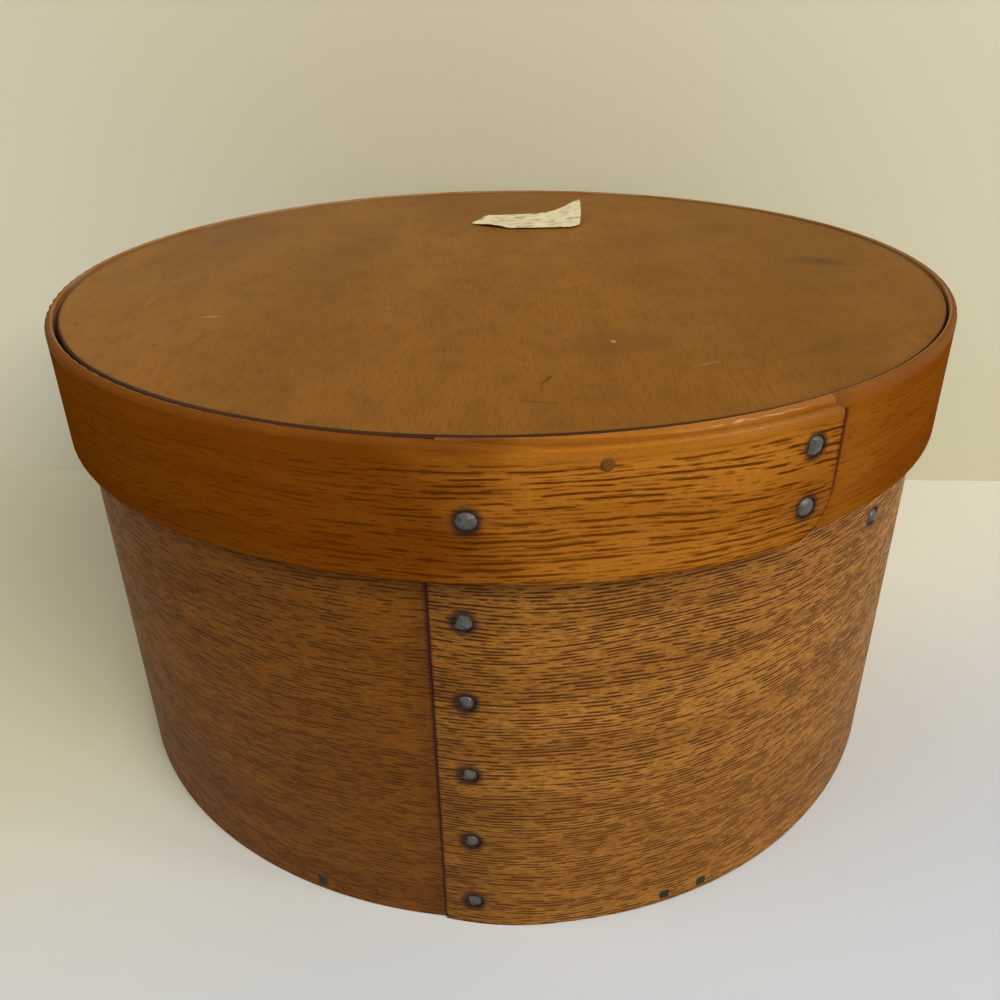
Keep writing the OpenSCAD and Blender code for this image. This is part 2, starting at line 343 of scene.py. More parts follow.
@dataclass(frozen=True)
class TackPlace:
    """Where a tack sits, measured on its node."""

    tack: Tack
    turn: float
    height: float
    apex: float
    inner: float
    centre: Vector

    @classmethod
    def of(cls, tack: Tack, ring: Ring) -> "TackPlace":
        """Measure a tack.

        Args:
            tack: The tack.
            ring: Band that it is driven into.

        Returns:
            The tack's place.
        """
        points = [vertex.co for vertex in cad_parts[tack.node].data.vertices]
        tip = max(points, key=ring.reach)
        inner = min(map(ring.reach, points))
        return cls(tack, ring.turn(tip), tip.z, ring.reach(tip), inner, tip.copy())

    @property
    def outward(self) -> Vector:
        """Direction in which the head faces."""
        return Vector((math.cos(self.turn), math.sin(self.turn), 0.0))


# Finishes


@dataclass(frozen=True)
class BandCoat:
    """Old varnish on a bent oak strip, whose dark pores lie in rows of dashes; lengths are in millimetres."""

    name: str
    light: Colour
    deep: Colour
    pore: Colour
    tint: Colour
    tint_from: float
    rubbed: float
    pitch: float
    dash: float
    wide: float
    calm_from: float
    calm: float
    seam_dirt_and_shade: float
    foot: float
    corner: float
    sheen: float
    edge_shine: float
    worn_deep: float
    seed: float
    bare: Colour = (0.36, 0.21, 0.095)
    stain: Colour = (0.020, 0.012, 0.013)
    dirt_and_shade: Colour = (0.040, 0.010, 0.006)
    worn: Colour = (0.46, 0.22, 0.05)
    relief: float = 0.14
    coat_rough: float = 0.22

    def dress(self, ring: Ring, tacks: list[TackPlace], covered: float) -> bpy.types.Material:
        """Make the finish for one band.

        Args:
            ring: Band that is dressed.
            tacks: Tacks whose iron has stained the wood.
            covered: Height above which the lid has kept the light off.

        Returns:
            The material.
        """
        sheet = BandSheet(self, ring)
        sheet.lay_grain()
        sheet.varnish()
        sheet.wear_and_shade_rim()
        sheet.blot(tacks)
        sheet.soil_and_shade_seam()
        sheet.shelter(covered)
        return sheet.finish()


class BandSheet(Sheet):
    """Sheet of one band, unrolled to millimetres from its outer end and from its lower edge."""

    def __init__(self, coat: BandCoat, ring: Ring) -> None:
        """Unroll the band.

        Args:
            coat: Finish that is written.
            ring: Band that is dressed.
        """
        super().__init__(coat.name, coat.light)
        self.coat = coat
        self.ring = ring
        self.point = self.place()
        x, y, z = self.split(self.point)
        x = x - ring.centre.x
        y = y - ring.centre.y
        bearing = (self.math("ARCTAN2", y, x) - ring.seam) * float(ring.winding.value)
        self.around = self.math("FLOORED_MODULO", bearing, math.tau) * (ring.form_r / MM)
        self.up = (z - ring.low) / MM
        self.reach = self.math("SQRT", x * x + y * y)

    def lay_grain(self) -> None:
        """Lay the noises, each over its cell along and across the grain, and the grooves."""
        coat, around, up, top = self.coat, self.around, self.up, self.ring.tall
        drift = self.cloud(around / 70.0, up / 30.0, coat.seed, 1.0) - 0.5
        ripple = self.cloud(around / 8.0, up / 5.0, coat.seed + 2.3, 1.0) - 0.5
        across = up + drift * 7.0 + ripple * (0.45 * coat.pitch)
        self.bands = self.cloud(around / 120.0, across / 9.0, coat.seed + 3.1, 2.0)
        self.streaks = self.cloud(around / 22.0, across / 1.1, coat.seed + 7.7, 3.0, 0.6)
        self.speckle = self.cloud(around / 0.8, across / 0.30, coat.seed + 11.3, 2.0, 0.6)
        self.patches = self.cloud(around / 30.0, across / 11.0, coat.seed + 17.9, 2.0)
        calm = around.step(coat.calm_from, coat.calm_from + 70.0) * coat.calm
        lean = (self.patches - 0.5) * 0.18 - calm * 0.12
        main = self.rows(across, coat.pitch, coat.dash, lean, coat.seed)
        finer = self.rows(across, 0.61 * coat.pitch, 0.45 * coat.dash, lean - 0.03, coat.seed + 31.0)
        self.smooth = up.step(top - coat.worn_deep, top - 0.5 * coat.worn_deep)
        deepest = (main * (1.0 - calm)).upper(finer * (0.65 - calm * 0.4))
        self.grooves = deepest * (1.0 - self.smooth * 0.9)

    def rows(self, across: Value, pitch: float, dash: float, lean: Value, seed: float) -> Value:
        """Lay dashes in rows, each row with its own rhythm.

        Args:
            across: Place across the grain.
            pitch: Distance between rows.
            dash: Length of a dash.
            lean: Amount by which a place favours dashes.
            seed: Number that picks a pattern.

        Returns:
            A mask from 0 to 1.
        """
        level = across / pitch
        row = self.math("FLOOR", level)
        wander = self.cloud(self.around / (2.5 * dash), row * 5.3, seed, 1.0) - 0.5
        beat = self.cloud(self.around / dash, row * 3.7, seed + 5.0, 2.0)
        full = (beat + lean).step(0.37, 0.56)
        off = (level - row - 0.5 - wander * 0.7).size()
        wide = self.coat.wide
        return (off / (full * wide + 0.3 * wide)).step(1.0, 0.40) * full

    def varnish(self) -> None:
        """Colour the face, darker in its grooves and low down, and tinted away from the seam."""
        coat, around, up, top = self.coat, self.around, self.up, self.ring.tall
        self.paint(self.bands.step(0.34, 0.66), coat.deep)
        self.paint(self.streaks.step(0.42, 0.72) * 0.45, coat.deep)
        self.paint(self.speckle.step(0.36, 0.74) * 0.22, coat.pore)
        self.paint(self.grooves * (up.step(0.0, top) * 0.14 + 0.86), coat.pore)
        self.paint(up.step(0.6 * top, 0.0) * 0.12, coat.pore)
        far = (around + (self.patches - 0.5) * 40.0).step(coat.tint_from, coat.tint_from + 24.0)
        whole = self.ring.girth
        far = far * (1.0 - around.step(whole - 30.0, whole - 4.0) * coat.rubbed)
        near_end = around.step(26.0, 2.0) * 0.45
        self.paint(far.upper(near_end), self.mix(1.0, self.colour, coat.tint, "MULTIPLY"))

    def wear_and_shade_rim(self) -> None:
        """Wear the upper edge pale, and darken it with painted shade at the back and a little past the seam.
        """
        around, up, top = self.around, self.up, self.ring.tall
        self.paint(up.step(top - 2.2, top - 0.3) * 0.07, self.coat.worn)
        # Painted shade on the upper edge at the back and a little past the seam.
        back = around.step(270.0, 340.0) * around.step(650.0, 580.0) * 0.65
        painted_rim_shade = back.upper(around.step(45.0, 85.0) * 0.16)
        self.paint(up.step(top - 2.4, top - 0.8) * painted_rim_shade, self.coat.dirt_and_shade)

    def blot(self, tacks: list[TackPlace]) -> None:
        """Darken the wood round each tack, with a tail along the grain.

        Args:
            tacks: Tacks in this band.
        """
        for tack in tacks:
            offset = self.node("ShaderNodeVectorMath", {"operation": "SUBTRACT"},
                               {0: self.point, 1: tack.centre})
            along_way = Vector((-tack.outward.y, tack.outward.x, 0.0))
            along = self.node("ShaderNodeVectorMath", {"operation": "DOT_PRODUCT"},
                              {0: offset, 1: along_way}, "Value") / MM
            rise = self.up - (tack.height - self.ring.low) / MM
            far = self.math("SQRT", along * along + rise * rise)
            halo = far.step(4.1, 2.3) * 0.85
            smear = (far * 0.4 + rise.size() * 1.9).step(4.6, 1.6) * self.streaks.step(0.42, 0.62) * 0.5
            self.paint(halo.upper(smear), self.coat.stain)

    def soil_and_shade_seam(self) -> None:
        """Draw dirt and painted shade in the corner where the outer end meets the layer below it, and painted
        shade fading out beside it.
        """
        coat, up, top, whole = self.coat, self.up, self.ring.tall, self.ring.girth
        spread = up.step(0.0, top) * (0.7 * coat.seam_dirt_and_shade) + 0.55 * coat.seam_dirt_and_shade
        past = self.math("FLOORED_MODULO", self.around + whole / 2, whole) - whole / 2
        aside = (coat.corner - past).upper(0.0)
        below = (coat.corner - up).upper(0.0)
        beyond = self.math("SQRT", aside * aside + below * below) - coat.corner
        open_side = beyond.step(-0.05, 0.05)
        # Dark line at the step: dirt in the crevice together with its painted shade.
        gap_shade_and_dirt = ((beyond - coat.foot) / spread).step(1.0, 0.15) * open_side * up.step(top - 2.8, top - 3.8)
        gap_shade_and_dirt = gap_shade_and_dirt * (0.75 + self.speckle * 0.3)
        lip = beyond.step(-0.9, 0.0) * (1.0 - open_side) * 0.55
        self.paint(gap_shade_and_dirt.upper(lip).lower(0.95), coat.dirt_and_shade)
        # Painted shade fading out over about 6.5 mm beside the step.
        self.paint(beyond.step(6.5, 0.8) * open_side * 0.25 * (1.0 - coat.rubbed), coat.dirt_and_shade)

    def shelter(self, covered: float) -> None:
        """Lodge dirt with painted shade below the lid's edge and keep the wood behind it paler.

        Args:
            covered: Height above which the lid has kept the light off.
        """
        # Dirt and painted shade in a band just below the lid's lower edge.
        shade_and_dirt_below_lid = self.up.step(covered - 3.0, covered - 0.4) * (0.25 + self.streaks * 0.5)
        self.paint(shade_and_dirt_below_lid, self.coat.dirt_and_shade)
        self.paint(self.up.step(covered - 0.4, covered + 1.0) * 0.36, self.coat.bare)

    def finish(self) -> bpy.types.Material:
        """Leave the inner face bare, gloss the upper edge and end the sheet.

        Returns:
            The material.
        """
        coat, around, top, form_r = self.coat, self.around, self.ring.tall, self.ring.form_r
        inside = self.reach.step(form_r + 0.7 * MM, form_r + 0.3 * MM)
        bare = self.mix(self.streaks.step(0.35, 0.7), coat.bare, coat.deep)
        self.paint(inside * 0.9, self.mix(self.grooves * 0.5, bare, coat.pore))
        polish = 0.38 + self.patches * 0.12 + self.grooves * 0.16 + inside * 0.22
        hollow = self.grooves * 0.6 + self.speckle * 0.14 - self.streaks * 0.10
        height = 0.75 - hollow * (1.0 - self.smooth)
        handled = around.step(42.0, 24.0).upper(around.step(150.0, 210.0) * 0.4)
        shine = self.up.step(top - 3.4, top - 1.6) * handled * coat.edge_shine
        return self.close(polish, height, coat.relief * MM, Specular_IOR_Level=coat.sheen,
                          Coat_Weight=shine, Coat_Roughness=coat.coat_rough)


@dataclass(frozen=True)
class Scuff:
    """A mark on the lid board: middle and half size in millimetres, heading in degrees, and strength."""

    x: float
    y: float
    long: float
    wide: float
    heading: float
    strength: float


@dataclass(frozen=True)
class LidBoardCoat:
    """Worn brown varnish on the plain lid board, whose grain runs from front to back."""

    name: str = "lid_board_brown"
    light: Colour = (0.282, 0.112, 0.007)
    deep: Colour = (0.214, 0.081, 0.0035)
    dark: Colour = (0.070, 0.025, 0.003)
    gap_shade_and_dirt: Colour = (0.022, 0.005, 0.004)
    pale: Colour = (0.46, 0.27, 0.12)
    bare: Colour = (0.34, 0.20, 0.095)
    relief: float = 0.06 * MM
    sheen: float = 0.07
    coat_rough: float = 0.40
    dark_scuffs: tuple[Scuff, ...] = (
        Scuff(25, -72, 17, 10, 20, 0.22), Scuff(98, 2, 11, 6, -20, 0.50), Scuff(84, -72, 30, 5, 28, 0.14),
        Scuff(10, -95, 5.0, 0.7, 62, 0.65), Scuff(8, -107, 5.5, 0.6, -14, 0.6),
        Scuff(52, -90, 9, 0.8, 12, 0.2), Scuff(-44, 28, 22, 9, 75, 0.14), Scuff(60, 40, 30, 14, 40, 0.16),
    )
    pale_scuffs: tuple[Scuff, ...] = (
        Scuff(-75, -46, 4.2, 0.7, 8, 0.6), Scuff(27, -70, 0.9, 1.5, 0, 0.8), Scuff(46, -86, 5, 0.5, 24, 0.3),
        Scuff(-96, -30, 1.0, 9, 5, 0.14),
    )

    def dress(self, ring: Ring) -> bpy.types.Material:
        """Make the finish.

        Args:
            ring: Lid band round the board.

        Returns:
            The material.
        """
        sheet = Sheet(self.name, self.light)
        x, y, z = sheet.split(sheet.place())
        x = (x - ring.centre.x) / MM
        y = (y - ring.centre.y) / MM
        drift = sheet.cloud(x / 60.0, y / 90.0, 2.0, 1.0) - 0.5
        across = x + drift * 9.0
        broad = sheet.cloud(across / 34.0, y / 120.0, 4.0, 3.0)
        fine = sheet.cloud(across / 1.3, y / 42.0, 9.0, 3.0, 0.6)
        hair = sheet.cloud(across / 0.42, y / 6.0, 13.0, 2.0, 0.6)
        grit = sheet.cloud(x / 0.5, y / 0.7, 23.0, 2.0, 0.7)
        mottle = sheet.cloud(x / 26.0, y / 26.0, 19.0, 3.0)

        sheet.paint(broad.step(0.30, 0.72), self.deep)
        sheet.paint(fine.step(0.46, 0.74) * 0.55, self.deep)
        sheet.paint(hair.step(0.48, 0.72) * 0.36, self.dark)
        sheet.paint(grit.step(0.42, 0.70) * 0.32, self.dark)
        # Painted shade: the board turns darker towards the right and the front.
        sheet.paint((x - y * 0.5).step(-20.0, 120.0) * 0.24, self.dark)
        sheet.paint(mottle.step(0.52, 0.78) * 0.30, self.deep)
        bloom = sheet.cloud(x / 7.0, y / 11.0, 29.0, 2.0)
        sheet.paint(bloom.step(0.42, 0.76) * 0.20, self.dark)
        for scuff in self.dark_scuffs:
            sheet.paint(self.mark(sheet, x, y, scuff, mottle), self.dark)
        for scuff in self.pale_scuffs:
            sheet.paint(self.mark(sheet, x, y, scuff, fine), self.pale)

        reach = sheet.math("SQRT", x * x + y * y)
        rim = ring.form_r / MM
        sheet.paint(reach.step(rim - 3.0, rim - 0.4) * (0.15 + mottle * 0.4), self.dark)
        # Painted shade of the gap round the board, drawn wider at the left and the front.
        left_gap = x.step(-40.0, -115.0) * 0.9
        front_gap = y.step(-50.0, -110.0) * x.step(80.0, 10.0) * 1.5
        sheet.paint((reach - rim + left_gap.upper(front_gap)).step(-1.0, -0.5) * 0.9, self.gap_shade_and_dirt)
        under = z.step(ring.high - 3.0 * MM, ring.high - 4.0 * MM)
        sheet.paint(under, sheet.mix(fine.step(0.4, 0.7), self.bare, self.light))

        polish = 0.40 + mottle * 0.14 + hair * 0.08 + under * 0.2
        height = fine * 0.5 + hair * 0.35 + mottle * 0.4
        gloss = (y - x).step(-60.0, 180.0) * 0.10
        return sheet.close(polish, height, self.relief, Specular_IOR_Level=self.sheen,
                           Coat_Weight=gloss, Coat_Roughness=self.coat_rough)

    @staticmethod
    def mark(sheet: Sheet, x: Value, y: Value, scuff: Scuff, grain: Value) -> Value:
        """Share of one mark.

        Args:
            sheet: Sheet that is being written.
            x: Place to the right of the middle, in millimetres.
            y: Place behind the middle.
            scuff: The mark.
            grain: Noise that breaks its edge up.

        Returns:
            A mask from 0 to the mark's strength.
        """
        cos, sin = math.cos(math.radians(scuff.heading)), math.sin(math.radians(scuff.heading))
        dx = x - scuff.x
        dy = y - scuff.y
        along = (dx * cos + dy * sin) / scuff.long
        aside = (dy * cos - dx * sin) / scuff.wide
        far = sheet.math("SQRT", along * along + aside * aside) + (grain - 0.5) * 0.9
        return far.step(1.05, 0.35) * scuff.strength


@dataclass(frozen=True)
class PlainWood:
    """Plain wood with its grain along one axis, for the bottom board and the pegs."""

    name: str
    light: Colour
    deep: Colour
    ring_pitch: float
    grain_long: float
    gloss: float
    relief: float = 0.08 * MM
    sheen: float = 0.1

    def dress(self) -> bpy.types.Material:
        """Make the finish, with the grain along Y."""
        sheet = Sheet(self.name, self.light)
        x, y, z = (part / MM for part in sheet.split(sheet.place()))
        drift = sheet.cloud(x / 40.0, y / 90.0, z / 40.0, 1.0) - 0.5
        across = x + z * 0.4 + drift * (6.0 * self.ring_pitch)
        rings = sheet.math("SINE", across * (math.tau / self.ring_pitch))
        fine = sheet.cloud(across / (0.12 * self.ring_pitch), y / self.grain_long, z / 1.5, 3.0, 0.6)
        patch = sheet.cloud(x / 30.0, y / 30.0, z / 30.0, 2.0)
        sheet.paint((rings * 0.16 + fine).step(0.3, 0.85), self.deep)
        sheet.paint(patch.step(0.5, 0.8) * 0.4, self.deep)
        polish = 1.0 - self.gloss + fine * 0.12
        return sheet.close(polish, fine, self.relief, Specular_IOR_Level=self.sheen)


@dataclass(frozen=True)
class OldIron:
    """Dull iron with darker scale and rust in its hollows."""

    name: str
    bright: Colour
    scale: Colour
    rust: Colour
    metal: float
    grain: float
    sheen: float = 0.5
    relief: float = 0.04 * MM

    def dress(self) -> bpy.types.Material:
        """Make the finish."""
        sheet = Sheet(self.name, self.bright)
        x, y, z = (part / (self.grain * MM) for part in sheet.split(sheet.place()))
        lumps = sheet.cloud(x, y, z, 3.0, 0.6)
        specks = sheet.cloud(x * 4.0, y * 4.0, z * 4.0, 2.0, 0.6)
        blooms = sheet.cloud(x * 0.7, y * 0.7, z * 0.7 + 5.0, 3.0)
        dull = lumps.step(0.40, 0.66) * 0.6
        rust = blooms.step(0.54, 0.72) * specks.step(0.35, 0.60)
        sheet.paint(dull, self.scale)
        sheet.paint(rust * 0.7, self.rust)
        polish = 0.42 + dull * 0.20 + rust * 0.18
        return sheet.close(polish, lumps * 0.7 + specks * 0.3, self.relief,
                           Metallic=self.metal * (1.0 - rust), Specular_IOR_Level=self.sheen)


@dataclass(frozen=True)
class OldPaper:
    """Cream paper gone brown at its edges, with foxing and faint grey rubs."""

    name: str = "label_cream"
    cream: Colour = (0.74, 0.65, 0.40)
    tan: Colour = (0.55, 0.41, 0.20)
    grey: Colour = (0.20, 0.20, 0.12)
    rough: float = 0.82
    relief: float = 0.05 * MM
    sheen: float = 0.2

    def dress(self) -> bpy.types.Material:
        """Make the finish."""
        sheet = Sheet(self.name, self.cream)
        x, y, z = (part / MM for part in sheet.split(sheet.place()))
        fox = sheet.cloud(x / 5.0, y / 5.0, z / 5.0, 4.0, 0.6)
        rub = sheet.cloud(x / 3.6, y / 1.7, z / 3.0 + 4.0, 3.0)
        fibre = sheet.cloud(x / 0.4, y / 0.5, z / 0.4, 2.0, 0.6)
        sheet.paint(fox.step(0.48, 0.78) * 0.55, self.tan)
        sheet.paint(rub.step(0.50, 0.68) * 0.75, self.grey)
        sheet.paint(fibre.step(0.52, 0.80) * 0.20, self.tan)
        height = fibre * 0.6 + fox * 0.4
        return sheet.close(self.rough, height, self.relief, Specular_IOR_Level=self.sheen)


# Mesh work


def deselect() -> None:
    """Leave edit mode and deselect every object."""
    if bpy.context.object and bpy.context.object.mode != "OBJECT":
        bpy.ops.object.mode_set(mode="OBJECT")
    bpy.ops.object.select_all(action="DESELECT")


def pick(piece: bpy.types.Object) -> None:
    """Make a piece the only selected and active object."""
    deselect()
    piece.select_set(True)
    bpy.context.view_layer.objects.active = piece


def choose(piece: bpy.types.Object, test: Callable[[Vector], bool]) -> None:
    """Select the points of a piece in edit mode that pass a test of their place.

    Args:
        piece: Piece in edit mode.
        test: Test of a point.
    """
    bpy.ops.mesh.select_all(action="DESELECT")
    shape = bmesh.from_edit_mesh(piece.data)
    for point in shape.verts:
        point.select = test(point.co)
    shape.select_flush_mode()
    bmesh.update_edit_mesh(piece.data)


def dress(piece: bpy.types.Object, finish: bpy.types.Material) -> None:
    """Give a piece one material."""
    piece.data.materials.clear()
    piece.data.materials.append(finish)


def dress_nodes(finish: bpy.types.Material, *nodes: str) -> None:
    """Put a finish into the material slots of CAD nodes."""
    for node in nodes:
        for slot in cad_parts[node].material_slots:
            slot.material = finish
        LOG.info("dressed %s in %s", node, finish.name)


@dataclass
class TackMaker:
    """Makes hammered tacks: a flattened dome on a square shank whose point is turned over inside."""

    head_r: float = 2.3 * MM
    dome: float = 1.0 * MM
    sink: float = 0.3 * MM
    shank: float = 1.5 * MM
    point_long: float = 4.5 * MM
    point_thick: float = 0.9 * MM
    point_tip: float = 0.3 * MM
    point_taper: float = 0.45
    stub: float = 1.0 * MM
    neck: float = 0.4 * MM
    smooth: float = 9.0
    strikes: int = 4
    stray: float = 0.25
    first_blow: tuple[float, float] = (0.85, 1.0)
    later_blow: tuple[float, float] = (0.35, 0.75)
    bite: tuple[float, float] = (0.05, 0.14)
    broad: tuple[float, float] = (0.95, 1.05)
    tall: tuple[float, float] = (0.80, 0.92)
    segments: int = 48
    rings: int = 64

    def pattern(self) -> bpy.types.Object:
        """Model one round tack along +X, with the wood's face at x = 0.

        Returns:
            The tack, with a stub of a shank.
        """
        dome_r = (self.head_r ** 2 + self.dome ** 2) / (2 * self.dome)
        deselect()
        bpy.ops.mesh.primitive_uv_sphere_add(
            segments=self.segments, ring_count=self.rings, radius=dome_r,
            location=(self.dome - self.sink - dome_r, 0, 0), rotation=(0, math.pi / 2, 0),
        )
        head = bpy.context.object
        bpy.ops.object.transform_apply()
        bpy.ops.object.mode_set(mode="EDIT")
        bpy.ops.mesh.select_all(action="SELECT")
        bpy.ops.mesh.bisect(plane_co=(-self.sink, 0, 0), plane_no=(1, 0, 0), use_fill=True, clear_inner=True,
                            threshold=CUT)
        choose(head, lambda point: abs(point.x + self.sink) < CUT)
        bpy.ops.mesh.poke()
        bpy.ops.object.mode_set(mode="OBJECT")

        deselect()
        bpy.ops.mesh.primitive_cube_add(size=1.0, location=(-self.sink - self.stub / 2, 0, 0),
                                        scale=(self.stub, self.shank, self.shank))
        bpy.ops.object.transform_apply()
        head.select_set(True)
        bpy.context.view_layer.objects.active = head
        bpy.ops.object.join()
        return head

    def place(self, pattern: bpy.types.Object, spot: TackPlace, ring: Ring, number: int) -> bpy.types.Object:
        """Copy the pattern to a tack's place and hammer it.

        Args:
            pattern: Round tack along +X.
            spot: Place of the tack.
            ring: Band that it is driven into.
            number: Number that picks its strikes.

        Returns:
            The finished tack.
        """
        piece = pattern.copy()
        piece.data = pattern.data.copy()
        piece.name = spot.tack.node.replace("tack", "hammered_tack")
        bpy.context.scene.collection.objects.link(piece)
        face = spot.apex - self.dome + self.sink
        depth = face - spot.inner
        pick(piece)
        bpy.ops.object.mode_set(mode="EDIT")
        self.turn_over(piece, depth)
        self.hammer(piece, spot.tack, number)
        bpy.ops.object.mode_set(mode="OBJECT")
        piece.matrix_world = (
            Matrix.Translation((ring.centre.x, ring.centre.y, spot.height))
            @ Matrix.Rotation(spot.turn, 4, "Z")
            @ Matrix.Translation((face, 0, 0))
        )
        bpy.ops.object.transform_apply()
        bpy.ops.object.shade_smooth_by_angle(angle=math.radians(self.smooth))
        return piece

    def turn_over(self, piece: bpy.types.Object, depth: float) -> None:
        """Lengthen the shank to the inner face and turn its point down.

        Args:
            piece: Tack in edit mode.
            depth: Depth of the wall.
        """
        shank_end = -self.sink - self.stub
        choose(piece, lambda point: abs(point.x - shank_end) < NEAR)
        bpy.ops.transform.translate(value=(-depth + self.point_thick - shank_end, 0, 0))
        bpy.ops.mesh.extrude_region_move(TRANSFORM_OT_translate={"value": (-self.point_thick, 0, 0)})
        shape = bmesh.from_edit_mesh(piece.data)
        bpy.ops.mesh.select_all(action="DESELECT")
        for side in shape.faces:
            middle = side.calc_center_median()
            under = abs(middle.z + self.shank / 2) < CUT
            if under and -depth < middle.x < -depth + self.point_thick:
                side.select = True
        bmesh.update_edit_mesh(piece.data)
        bpy.ops.mesh.extrude_region_move(TRANSFORM_OT_translate={"value": (0, 0, -self.point_long)})
        low = -self.shank / 2 - self.point_long
        choose(piece, lambda point: point.z < low + NEAR and point.x > -depth + NEAR)
        bpy.ops.transform.translate(value=(self.point_tip - self.point_thick, 0, 0))
        choose(piece, lambda point: point.z < low + NEAR)
        bpy.ops.transform.resize(value=(1.0, self.point_taper, 1.0), center_override=(-depth, 0, low))

    def hammer(self, piece: bpy.types.Object, tack: Tack, number: int) -> None:
        """Strike flats into the head and draw its outline out of round.

        Args:
            piece: Tack in edit mode.
            tack: The tack, with its size and its blow.
            number: Number that picks the strikes.
        """
        dice = random.Random(number)
        shape = bmesh.from_edit_mesh(piece.data)
        head = [point for point in shape.verts if point.co.x > -self.sink + CUT]
        for strike in range(self.strikes):
            heading = math.pi + math.tau * (strike + dice.uniform(-self.stray, self.stray)) / self.strikes
            steep = dice.uniform(*(self.later_blow if strike else self.first_blow))
            tilt = math.radians(tack.blow.value * steep)
            aside = math.sin(tilt)
            normal = Vector((math.cos(tilt), aside * math.cos(heading), aside * math.sin(heading)))
            spot = Vector((self.dome - self.sink - dice.uniform(*self.bite) * self.dome, 0, 0))
            for point in head:
                point.co -= normal * max(0.0, (point.co - spot).dot(normal))
        bmesh.update_edit_mesh(piece.data)
        choose(piece, lambda point: point.x > -self.sink - self.neck)
        stretch = (1.0, tack.head * dice.uniform(*self.broad), tack.head * dice.uniform(*self.tall))
        bpy.ops.transform.resize(value=stretch, center_override=(-self.sink, 0, 0))


# Sub-assemblies


@dataclass
class Banded:
    """A board in a bent band that is held by tacks."""

    band: str
    seam: float
    winding: Winding
    tacks: tuple[Tack, ...]
    wall: float = 2.0 * MM

    def __post_init__(self) -> None:
        """Measure the band and its tacks."""
        self.ring = Ring.of(self.band, self.seam, self.winding, self.wall)
        self.spots = [TackPlace.of(tack, self.ring) for tack in self.tacks]


@dataclass
class BoxBody(Banded):
    """The box itself: side band, bottom board, tacks and base nails."""

    band: str = "side_band"
    seam: float = -97.0
    winding: Winding = Winding.ANTICLOCKWISE
    tacks: tuple[Tack, ...] = (
        Tack("side_tack_1"), Tack("side_tack_2", 0.80), Tack("side_tack_3", 0.78), Tack("side_tack_4", 0.74),
        Tack("side_tack_5", 0.86), Tack("side_end_tack", 0.80, Blow.SQUARE),
    )
    nails: tuple[str, ...] = tuple(f"base_nail_{i}" for i in range(1, 7))

    def dress(self, lid_low: float) -> None:
        """Finish the wood and the nails.

        Args:
            lid_low: Height of the lid's lower edge.
        """
        coat = BandCoat(
            "side_oak_brown", light=(0.470, 0.200, 0.029), deep=(0.360, 0.144, 0.018),
            pore=(0.062, 0.018, 0.002), tint=(0.50, 0.40, 0.17), tint_from=190.0, rubbed=0.0, pitch=0.90,
            dash=6.0, wide=0.28, calm_from=150.0, calm=0.25, seam_dirt_and_shade=1.6, foot=0.0, corner=0.6,
            sheen=0.07, edge_shine=0.0, worn_deep=2.0, seed=1.0,
        )
        covered = (lid_low - self.ring.low) / MM
        dress_nodes(coat.dress(self.ring, self.spots, covered), self.band)
        board = PlainWood("bottom_bare_pine", light=(0.46, 0.29, 0.135), deep=(0.38, 0.225, 0.095),
                          ring_pitch=5.0, grain_long=60.0, gloss=0.32)
        dress_nodes(board.dress(), "bottom_board")
        rusty = OldIron("nail_rust", bright=(0.030, 0.023, 0.019), scale=(0.016, 0.013, 0.012),
                        rust=(0.045, 0.020, 0.012), metal=0.0, grain=0.9, sheen=0.1)
        dress_nodes(rusty.dress(), *self.nails)


@dataclass
class Lid(Banded):
    """The lid: band, board, tacks, pegs and label."""

    band: str = "lid_band"
    seam: float = -57.5
    winding: Winding = Winding.CLOCKWISE
    tacks: tuple[Tack, ...] = (
        Tack("lid_tack_1"), Tack("lid_tack_2", 1.0, Blow.SQUARE), Tack("lid_end_tack", 1.0, Blow.SQUARE),
    )
    pegs: tuple[str, ...] = tuple(f"lid_peg_{i}" for i in range(1, 5))

    def dress(self) -> None:
        """Finish the wood."""
        coat = BandCoat(
            "lid_oak_gold", light=(0.412, 0.152, 0.016), deep=(0.326, 0.112, 0.010),
            pore=(0.090, 0.023, 0.002), tint=(0.49, 0.38, 0.22), tint_from=66.0, rubbed=0.30, pitch=1.50,
            dash=9.5, wide=0.20, calm_from=60.0, calm=0.65, seam_dirt_and_shade=1.4, foot=2.9, corner=11.0,
            sheen=0.0, edge_shine=0.42, worn_deep=6.0, seed=41.0,
        )
        never_covered = 2.0 * self.ring.tall
        dress_nodes(coat.dress(self.ring, self.spots, never_covered), self.band)
        dress_nodes(LidBoardCoat().dress(self.ring), "lid_board")
        peg = PlainWood("peg_dark_oak", light=(0.17, 0.058, 0.008), deep=(0.13, 0.042, 0.006),
                        ring_pitch=0.9, grain_long=3.0, gloss=0.45)
        dress_nodes(peg.dress(), *self.pegs)


